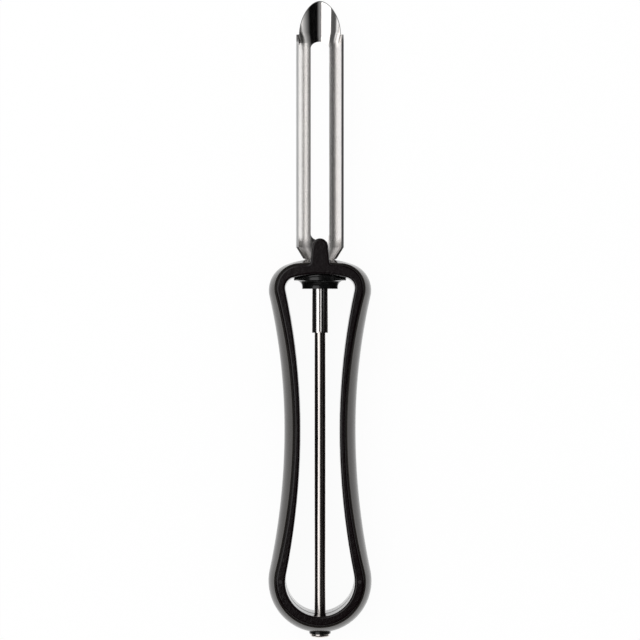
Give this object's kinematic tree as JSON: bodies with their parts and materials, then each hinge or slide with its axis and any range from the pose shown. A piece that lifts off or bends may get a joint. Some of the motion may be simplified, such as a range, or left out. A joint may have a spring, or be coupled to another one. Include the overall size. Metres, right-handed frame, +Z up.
{
  "type": "vegetable peeler",
  "caption": "Straight peeler: a slotted stainless blade with a spoon tip, on a rod that turns inside an open waisted loop handle with a soft outer band.",
  "frame": {"origin": "on the plane the handle's flat back lies on, under the middle of the overall length, in the plane of symmetry through the rod", "axes": "+Z up out of the handle's front face, +Y along the blade to its spoon tip, +X to the right seen from the front with the tip up"},
  "size_m": [0.0298, 0.1848, 0.016],
  "materials": {
    "handle_frame": "half gloss, with a fine grain on its faces",
    "grip_band": "satin",
    "swivel_bush": "glossy",
    "blade": "polished, with a fine drawn grain",
    "rod": "bright drawn",
    "end_washer": "glossy"
  },
  "bodies": {
    "handle": {"handle_frame": "handle_frame", "grip_band": "grip_band", "swivel_bush": "swivel_bush", "end_washer": "end_washer"},
    "blade": {"blade": "blade", "rod": "rod"}
  },
  "joints": [
    {"name": "blade_swivel", "type": "hinge", "parent": "handle", "child": "blade", "pos_m": [0, 0, 0.008], "axis": [0, 1, 0], "range_deg": [-42, 42]}
  ]
}
